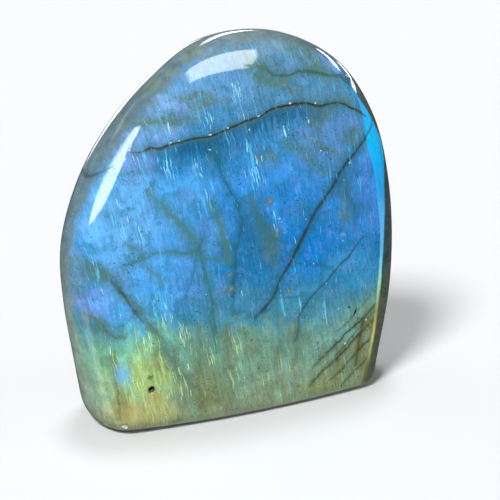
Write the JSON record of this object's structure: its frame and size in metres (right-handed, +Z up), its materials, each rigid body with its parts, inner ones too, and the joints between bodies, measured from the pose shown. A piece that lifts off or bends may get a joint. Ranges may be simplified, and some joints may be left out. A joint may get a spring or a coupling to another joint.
{
  "type": "polished labradorite freeform",
  "caption": "Palm-sized polished labradorite standing on a flat foot, with a domed top, a soft left shoulder, a bevelled right edge and a blue to green-gold flash.",
  "frame": {"origin": "centre of the flat foot, on the surface that the stone stands on", "axes": "+Z up through the crown, +X to the right along the width seen from the front, front face towards -Y"},
  "size_m": [0.0856, 0.0316, 0.0926],
  "materials": {
    "labradorite": "high polish over labradorescent feldspar, blue above and green-gold below"
  },
  "bodies": {
    "root": {"stone": "labradorite"}
  },
  "joints": []
}
